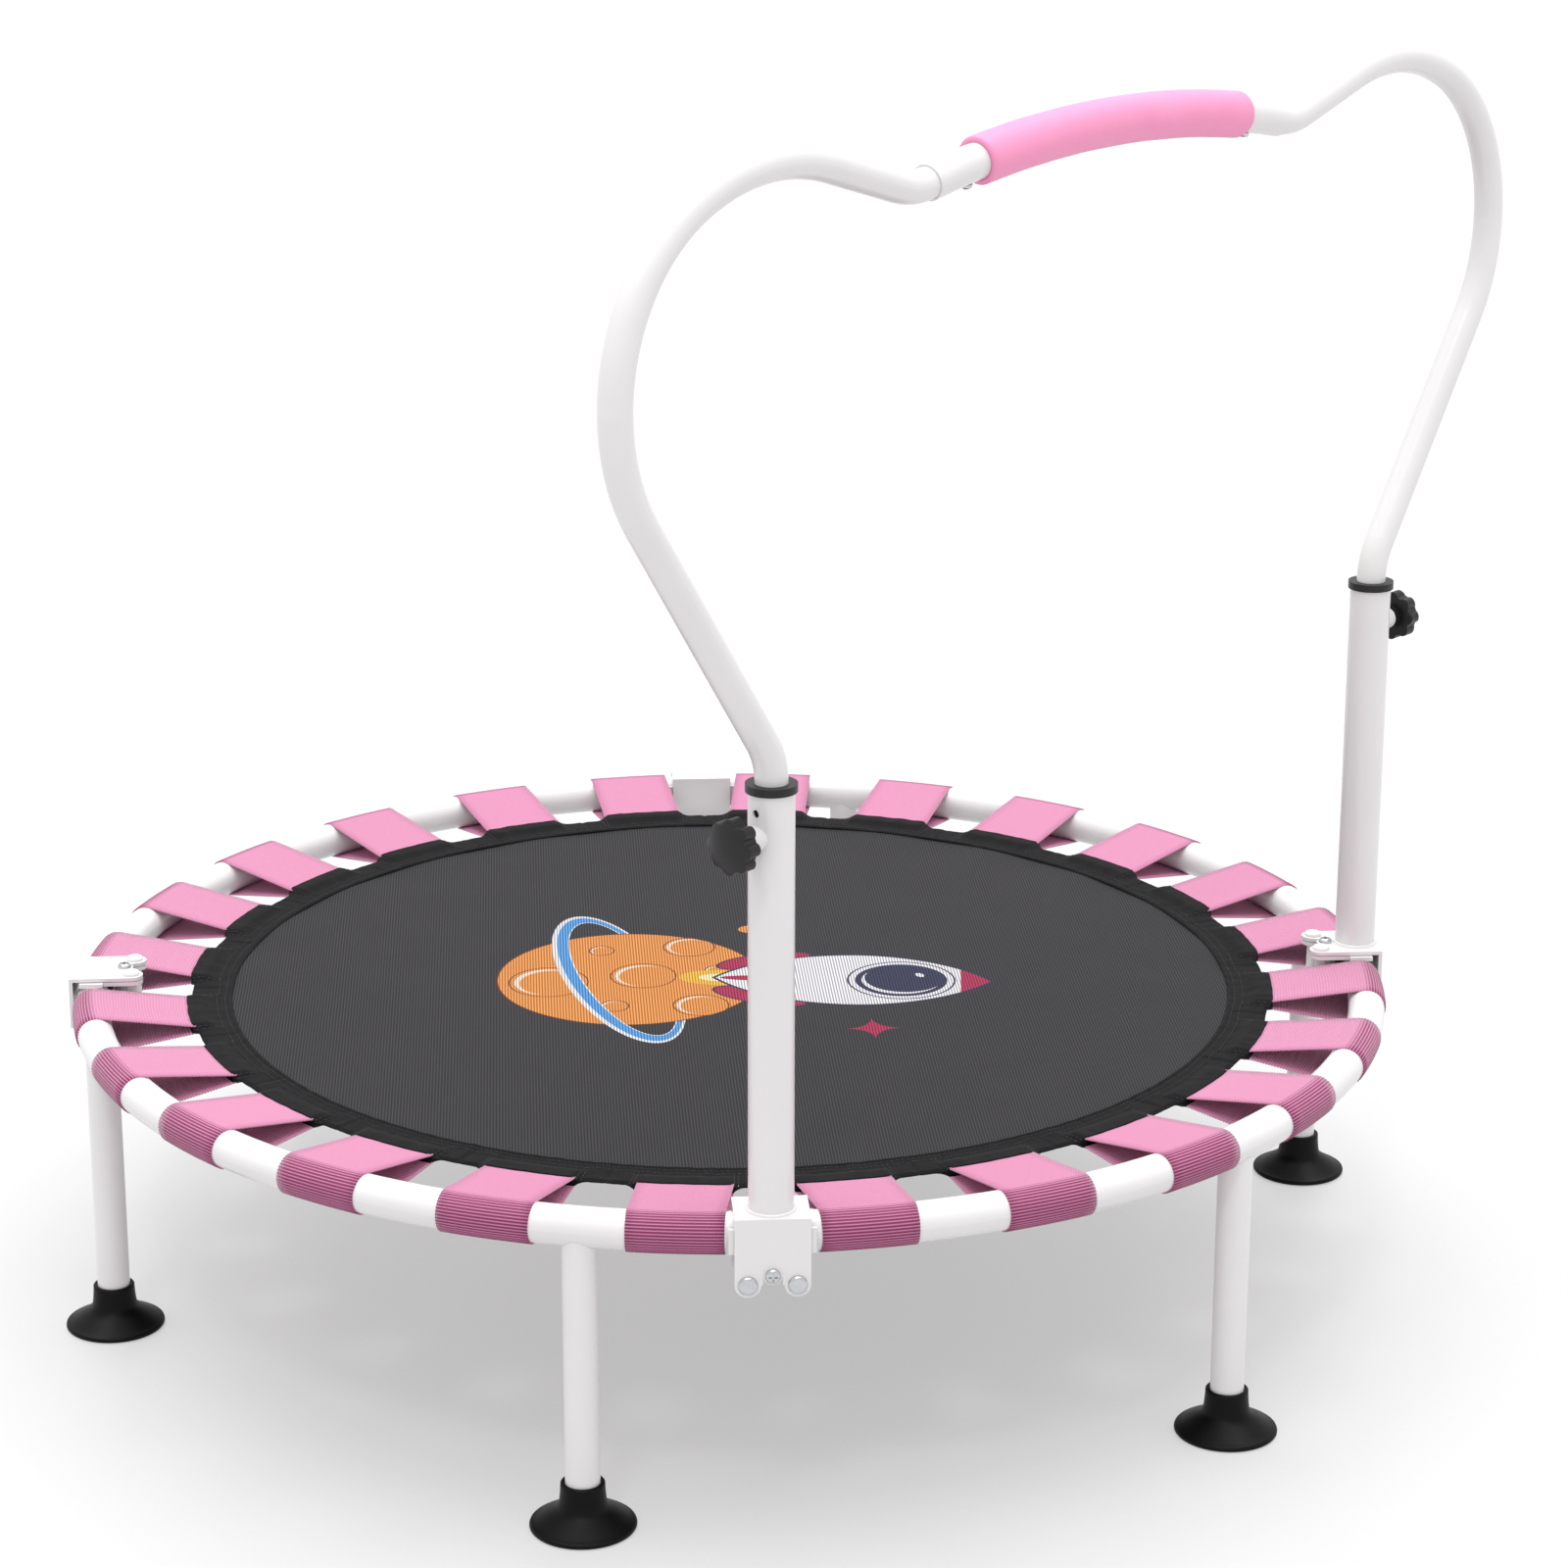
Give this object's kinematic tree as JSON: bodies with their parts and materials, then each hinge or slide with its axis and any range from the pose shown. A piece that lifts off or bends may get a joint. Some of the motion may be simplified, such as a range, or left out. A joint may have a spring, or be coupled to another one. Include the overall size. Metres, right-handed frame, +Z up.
{
  "type": "mini trampoline",
  "caption": "Folding mini trampoline: round tube frame on suction-cup legs, elastic-strap mat and a height-adjustable heart-shaped handle with a foam grip.",
  "frame": {"origin": "on the floor under the centre of the ring", "axes": "+Z up; the handle stands on the -Y side in a plane parallel to X, with its front upright at -X"},
  "size_m": [0.917, 0.9567, 0.8521],
  "materials": {
    "white_powder_coat": "smooth semi-gloss white powder coat on steel",
    "zinc_plated_steel": "bright zinc plate",
    "black_rubber": "satin black moulded rubber",
    "black_plastic": "fine-grained black nylon",
    "woven_mat": "charcoal woven polypropylene with a fine rib",
    "hem_tape": "black woven nylon tape",
    "pink_webbing": "ribbed pink elastic webbing",
    "pink_foam": "matt pink closed-cell foam"
  },
  "bodies": {
    "right_half": {"back_right_ring_tube": "white_powder_coat", "front_right_ring_tube": "white_powder_coat", "front_bracket": "white_powder_coat", "right_bracket": "white_powder_coat", "back_bracket": "white_powder_coat", "front_hinge_pins": "zinc_plated_steel", "right_hinge_pins": "white_powder_coat", "back_hinge_pins": "zinc_plated_steel", "right_half_lugs": "white_powder_coat", "screw_sleeves": "white_powder_coat", "lock_screws": "zinc_plated_steel", "lock_nuts": "zinc_plated_steel", "right_half_leg_sockets": "white_powder_coat", "right_half_leg_studs": "zinc_plated_steel", "front_right_leg": "white_powder_coat", "right_leg": "white_powder_coat", "back_right_leg": "white_powder_coat", "front_right_foot": "black_rubber", "right_foot": "black_rubber", "back_right_foot": "black_rubber", "right_mat": "woven_mat", "right_hem": "hem_tape", "right_hem_rods": "zinc_plated_steel", "front_right_straps": "pink_webbing", "back_right_straps": "pink_webbing", "front_upright": "white_powder_coat", "right_upright": "white_powder_coat", "upright_bushings": "black_plastic", "knob_weld_nuts": "white_powder_coat"},
    "left_half": {"back_left_ring_tube": "white_powder_coat", "front_left_ring_tube": "white_powder_coat", "left_bracket": "white_powder_coat", "left_hinge_pins": "white_powder_coat", "left_half_lugs": "white_powder_coat", "left_screw_sleeve": "white_powder_coat", "left_lock_screw": "zinc_plated_steel", "left_lock_nut": "zinc_plated_steel", "left_half_leg_sockets": "white_powder_coat", "left_half_leg_studs": "zinc_plated_steel", "back_left_leg": "white_powder_coat", "left_leg": "white_powder_coat", "front_left_leg": "white_powder_coat", "back_left_foot": "black_rubber", "left_foot": "black_rubber", "front_left_foot": "black_rubber", "left_mat": "woven_mat", "left_hem": "hem_tape", "left_hem_rods": "zinc_plated_steel", "back_left_straps": "pink_webbing", "front_left_straps": "pink_webbing"},
    "handle": {"handle_left_tube": "white_powder_coat", "handle_right_tube": "white_powder_coat", "crossbar": "white_powder_coat", "foam_grip": "pink_foam", "crossbar_screws": "zinc_plated_steel", "slide_guides": "black_plastic"},
    "front_clamp": {"front_knob": "black_plastic", "front_knob_stud": "zinc_plated_steel"},
    "right_clamp": {"right_knob": "black_plastic", "right_knob_stud": "zinc_plated_steel"}
  },
  "joints": [
    {"name": "left_half_fold", "type": "hinge", "parent": "right_half", "child": "left_half", "pos_m": [-0.01061, 0.01061, 0.173], "axis": [-0.7071, -0.7071, 0], "range_deg": [0, 90]},
    {"name": "handle_slide", "type": "slide", "parent": "right_half", "child": "handle", "axis": [0, 0, 1], "range_m": [0, 0.15]},
    {"name": "front_clamp_turn", "type": "hinge", "parent": "right_half", "child": "front_clamp", "pos_m": [-0.34466, -0.31466, 0.452], "axis": [-1, 0, 0], "continuous": true},
    {"name": "right_clamp_turn", "type": "hinge", "parent": "right_half", "child": "right_clamp", "pos_m": [0.34466, -0.31466, 0.452], "axis": [1, 0, 0], "continuous": true}
  ]
}
